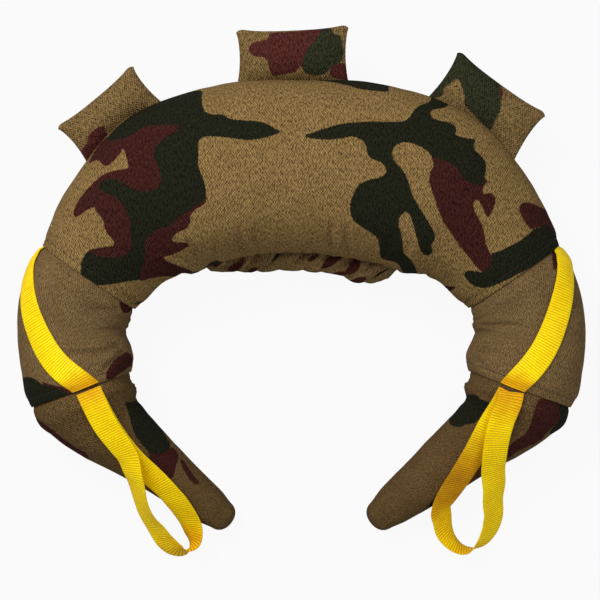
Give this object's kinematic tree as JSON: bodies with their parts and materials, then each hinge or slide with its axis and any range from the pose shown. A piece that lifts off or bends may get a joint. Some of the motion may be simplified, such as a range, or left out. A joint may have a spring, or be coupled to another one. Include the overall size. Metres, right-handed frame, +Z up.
{
  "type": "sandbag trainer",
  "caption": "Crescent sandbag trainer lying flat: a camouflage canvas body with tapering horn handles, webbing straps and hand loops, and pillow grips on its outer seam.",
  "frame": {"origin": "on the floor, under the middle of the whole bag's box", "axes": "+Z up from the floor, +X to the right and +Y towards the crown with the bag seen from above, its horns towards -Y"},
  "size_m": [0.6334, 0.5822, 0.1503],
  "materials": {
    "camouflage_canvas": "ribbed woven canvas, tan with dark green and maroon camouflage",
    "wool_wadding": "loose wool wadding",
    "sand_liner": "close woven liner packed with sand",
    "yellow_webbing": "ribbed yellow webbing"
  },
  "bodies": {
    "centre": {"centre_front_panel": "camouflage_canvas", "centre_back_panel": "camouflage_canvas", "centre_gathered_roll": "camouflage_canvas", "centre_wadding_sleeve": "wool_wadding", "centre_sand_liner": "sand_liner"},
    "left_leg": {"left_leg_cover": "camouflage_canvas", "left_leg_wadding_sleeve": "wool_wadding", "left_leg_sand_liner": "sand_liner", "left_leg_strap": "yellow_webbing"},
    "left_horn": {"left_horn_cover": "camouflage_canvas", "left_horn_wadding": "wool_wadding"},
    "left_loop": {"left_hand_loop": "yellow_webbing"},
    "right_leg": {"right_leg_cover": "camouflage_canvas", "right_leg_wadding_sleeve": "wool_wadding", "right_leg_sand_liner": "sand_liner", "right_leg_strap": "yellow_webbing"},
    "right_horn": {"right_horn_cover": "camouflage_canvas", "right_horn_wadding": "wool_wadding"},
    "right_loop": {"right_hand_loop": "yellow_webbing"},
    "top_grip": {"top_grip_front": "camouflage_canvas", "top_grip_back": "camouflage_canvas", "top_grip_core": "wool_wadding"},
    "left_grip": {"left_grip_front": "camouflage_canvas", "left_grip_back": "camouflage_canvas", "left_grip_core": "wool_wadding"},
    "right_grip": {"right_grip_front": "camouflage_canvas", "right_grip_back": "camouflage_canvas", "right_grip_core": "wool_wadding"}
  },
  "joints": [
    {"name": "left_leg_bend", "type": "hinge", "parent": "centre", "child": "left_leg", "pos_m": [-0.23736, 0.01749, 0], "axis": [0, 0, -1], "range_deg": [-10, 10]},
    {"name": "left_horn_bend", "type": "hinge", "parent": "left_leg", "child": "left_horn", "pos_m": [-0.24029, -0.10665, 0], "axis": [0, 0, -1], "range_deg": [-10, 10]},
    {"name": "left_loop_lift", "type": "hinge", "parent": "left_horn", "child": "left_loop", "pos_m": [-0.22885, -0.1089, 0.11577], "axis": [-0.9409, -0.3387, 0], "range_deg": [0, 110]},
    {"name": "right_leg_bend", "type": "hinge", "parent": "centre", "child": "right_leg", "pos_m": [0.23736, 0.01749, 0], "axis": [0, 0, 1], "range_deg": [-10, 10]},
    {"name": "right_horn_bend", "type": "hinge", "parent": "right_leg", "child": "right_horn", "pos_m": [0.24029, -0.10665, 0], "axis": [0, 0, 1], "range_deg": [-10, 10]},
    {"name": "right_loop_lift", "type": "hinge", "parent": "right_horn", "child": "right_loop", "pos_m": [0.22885, -0.1089, 0.11577], "axis": [-0.9409, 0.3387, 0], "range_deg": [0, 110]},
    {"name": "top_grip_flap", "type": "hinge", "parent": "centre", "child": "top_grip", "pos_m": [-0.00897, 0.23966, 0.06848], "axis": [0.9999, 0.0139, 0], "range_deg": [-25, 40], "stiffness_Nm_per_rad": 0.9},
    {"name": "left_grip_flap", "type": "hinge", "parent": "centre", "child": "left_grip", "pos_m": [-0.20474, 0.18791, 0.06681], "axis": [0.7695, 0.6387, 0], "range_deg": [-25, 40], "stiffness_Nm_per_rad": 0.9},
    {"name": "right_grip_flap", "type": "hinge", "parent": "centre", "child": "right_grip", "pos_m": [0.19953, 0.19197, 0.06714], "axis": [0.8081, -0.589, 0], "range_deg": [-25, 40], "stiffness_Nm_per_rad": 0.9}
  ]
}
